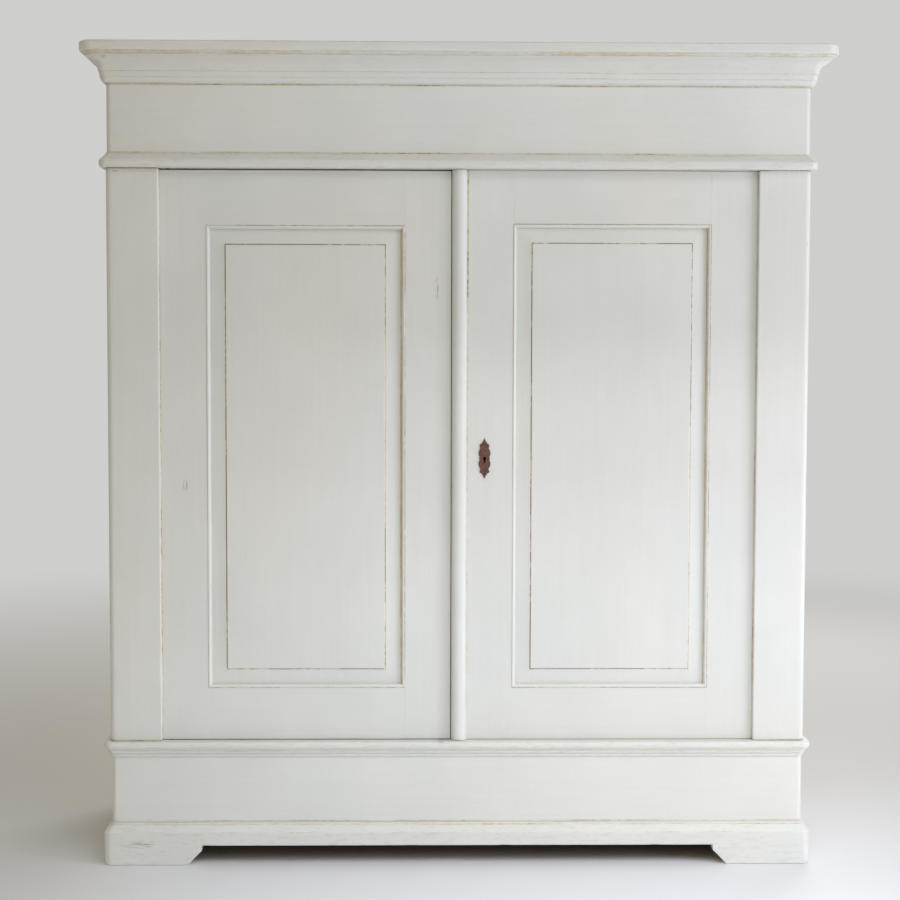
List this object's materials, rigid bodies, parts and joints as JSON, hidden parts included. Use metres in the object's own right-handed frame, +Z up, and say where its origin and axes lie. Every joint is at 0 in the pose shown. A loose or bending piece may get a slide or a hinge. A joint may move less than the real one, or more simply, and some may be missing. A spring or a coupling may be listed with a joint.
{
  "type": "two-door wardrobe",
  "caption": "Painted knock-down wardrobe with panelled pivot-hung doors, a moulded cornice, a plinth on bracket feet, a hat shelf and a hanging rail.",
  "frame": {"origin": "middle of the bounding box at the floor, under the centre of the wardrobe", "axes": "+X to the right along the front, +Y from the front into the wardrobe, +Z up; the doors face -Y"},
  "size_m": [1.776, 0.6, 1.95],
  "materials": {
    "painted_wood": "aged off-white eggshell paint, worn to brown at edges and crevices",
    "bare_pine": "bare aged pine, dry",
    "dark_iron": "dark forged iron, dull",
    "rusty_iron": "rusty iron plate"
  },
  "bodies": {
    "case": {"skirt_front": "painted_wood", "skirt_left": "painted_wood", "skirt_right": "painted_wood", "plinth_front": "painted_wood", "plinth_left": "painted_wood", "plinth_right": "painted_wood", "plinth_back": "bare_pine", "floor_board": "bare_pine", "base_moulding_front": "painted_wood", "base_moulding_left": "painted_wood", "base_moulding_right": "painted_wood", "left_front_post": "painted_wood", "left_rear_stile": "painted_wood", "left_side_top_rail": "painted_wood", "left_side_bottom_rail": "painted_wood", "left_side_panel": "painted_wood", "right_front_post": "painted_wood", "right_rear_stile": "painted_wood", "right_side_top_rail": "painted_wood", "right_side_bottom_rail": "painted_wood", "right_side_panel": "painted_wood", "back_muntin": "bare_pine", "back_panel_left": "bare_pine", "back_panel_right": "bare_pine", "hat_shelf": "bare_pine", "shelf_bearer_left": "bare_pine", "shelf_bearer_right": "bare_pine", "hanging_rail": "bare_pine", "frieze_front": "painted_wood", "frieze_left": "painted_wood", "frieze_right": "painted_wood", "cornice_back": "bare_pine", "crown_front": "painted_wood", "crown_left": "painted_wood", "crown_right": "painted_wood", "frieze_moulding_front": "painted_wood", "frieze_moulding_left": "painted_wood", "frieze_moulding_right": "painted_wood", "top_board": "bare_pine", "head_rail": "bare_pine"},
    "left_door": {"left_door_hinge_stile": "painted_wood", "left_door_meeting_stile": "painted_wood", "left_door_top_rail": "painted_wood", "left_door_bottom_rail": "painted_wood", "left_door_panel": "painted_wood", "left_pivot_pin_bottom": "dark_iron", "left_pivot_pin_top": "dark_iron", "top_bolt_plate": "dark_iron"},
    "right_door": {"right_door_hinge_stile": "painted_wood", "right_door_meeting_stile": "painted_wood", "right_door_top_rail": "painted_wood", "right_door_bottom_rail": "painted_wood", "right_door_panel": "painted_wood", "right_pivot_pin_bottom": "dark_iron", "right_pivot_pin_top": "dark_iron", "astragal": "painted_wood", "escutcheon": "rusty_iron", "lock_case": "dark_iron"},
    "lock_bolt": {"lock_bolt": "dark_iron"},
    "top_bolt": {"top_bolt": "dark_iron"}
  },
  "joints": [
    {"name": "left_door_swing", "type": "hinge", "parent": "case", "child": "left_door", "pos_m": [-0.6912, -0.225, 0.98], "axis": [0, 0, -1], "range_deg": [0, 115]},
    {"name": "right_door_swing", "type": "hinge", "parent": "case", "child": "right_door", "pos_m": [0.6912, -0.225, 0.98], "axis": [0, 0, 1], "range_deg": [0, 115]},
    {"name": "lock_bolt_slide", "type": "slide", "parent": "right_door", "child": "lock_bolt", "axis": [-1, 0, 0], "range_m": [0, 0.012]},
    {"name": "top_bolt_slide", "type": "slide", "parent": "left_door", "child": "top_bolt", "axis": [0, 0, 1], "range_m": [0, 0.015]}
  ]
}
